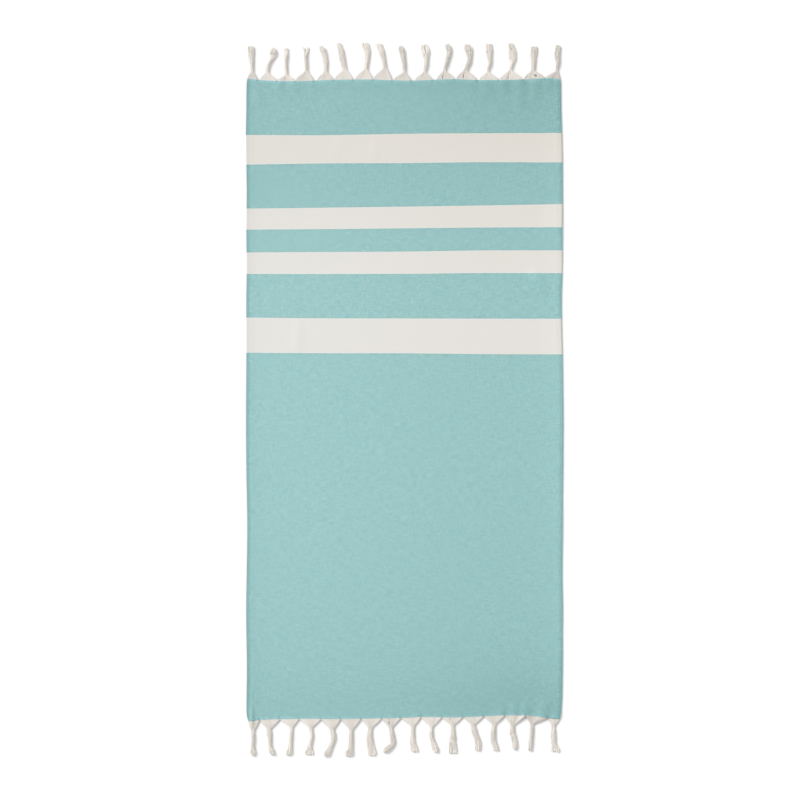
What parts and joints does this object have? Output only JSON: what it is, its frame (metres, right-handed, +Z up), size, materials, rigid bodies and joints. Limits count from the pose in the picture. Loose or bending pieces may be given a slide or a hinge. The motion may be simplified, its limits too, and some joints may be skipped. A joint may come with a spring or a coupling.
{
  "type": "beach towel",
  "caption": "Flat-woven beach towel laid out flat, with cross stripes near one end, stitched side hems and a knotted tassel fringe along both ends.",
  "frame": {"origin": "on the ground under the middle of the whole towel, fringes included", "axes": "+X across the towel, +Y along it towards the striped end, +Z up"},
  "size_m": [0.7023, 1.5814, 0.0072],
  "materials": {
    "towel_cloth": "matt flat-woven cotton, sea green weft on undyed warp, with undyed cross stripes",
    "fringe_yarn": "matt undyed cotton yarn, twisted and knotted"
  },
  "bodies": {
    "root": {"towel_cloth": "towel_cloth", "fringe_top": "fringe_yarn", "fringe_bottom": "fringe_yarn"}
  },
  "joints": []
}
